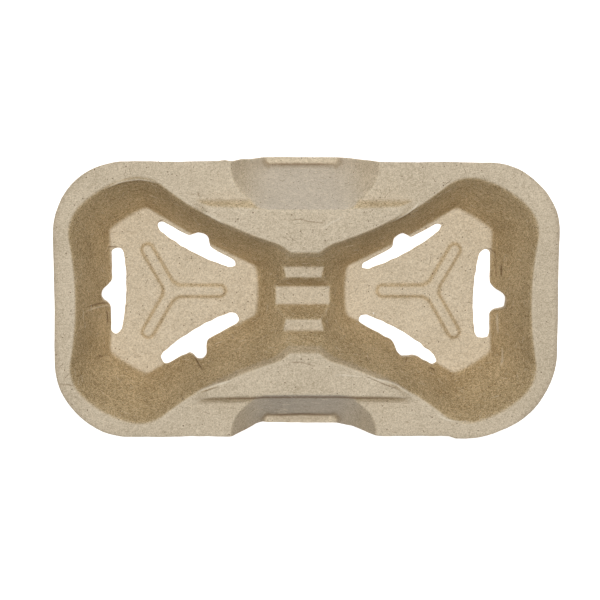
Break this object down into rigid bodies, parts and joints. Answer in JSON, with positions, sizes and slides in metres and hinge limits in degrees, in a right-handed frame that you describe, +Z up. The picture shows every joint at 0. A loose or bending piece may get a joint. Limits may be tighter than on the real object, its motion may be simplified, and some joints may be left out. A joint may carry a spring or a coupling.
{
  "type": "cup carrier tray",
  "caption": "Shallow moulded paper-pulp tray with side-by-side cup wells, a raised handle bridge between them and a finger notch in each long edge.",
  "frame": {"origin": "centre of the trimmed outline, on the table surface under the cup floors", "axes": "+X along the length from one cup well to the other, +Y across the width towards the back notch, +Z up out of the wells"},
  "size_m": [0.214, 0.1174, 0.0455],
  "materials": {
    "pulp": "matte, fibrous moulded pulp, beige grey with small darker specks"
  },
  "bodies": {
    "root": {"carrier_tray": "pulp"}
  },
  "joints": []
}
